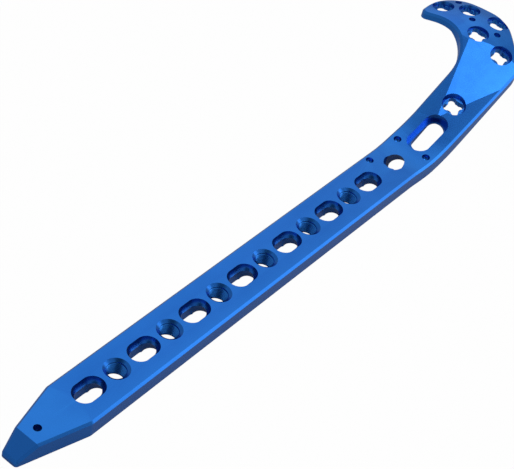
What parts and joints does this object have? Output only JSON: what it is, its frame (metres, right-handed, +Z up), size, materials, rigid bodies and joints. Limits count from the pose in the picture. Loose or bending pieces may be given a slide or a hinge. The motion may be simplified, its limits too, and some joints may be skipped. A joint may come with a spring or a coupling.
{
  "type": "orthopedic bone plate",
  "caption": "Long flat metal bone plate with a straight holed shaft, a bent neck and a domed head whose wing curls to one side.",
  "frame": {"origin": "on the shaft's flat top face, at the centre of its row of compression slots", "axes": "+X along the shaft towards the head, +Y towards the head's wing, +Z up out of the top face, away from the bone"},
  "size_m": [0.2294, 0.0392, 0.0238],
  "materials": {
    "anodised_titanium": "satin blue anodised titanium"
  },
  "bodies": {
    "root": {"bone_plate": "anodised_titanium"}
  },
  "joints": []
}
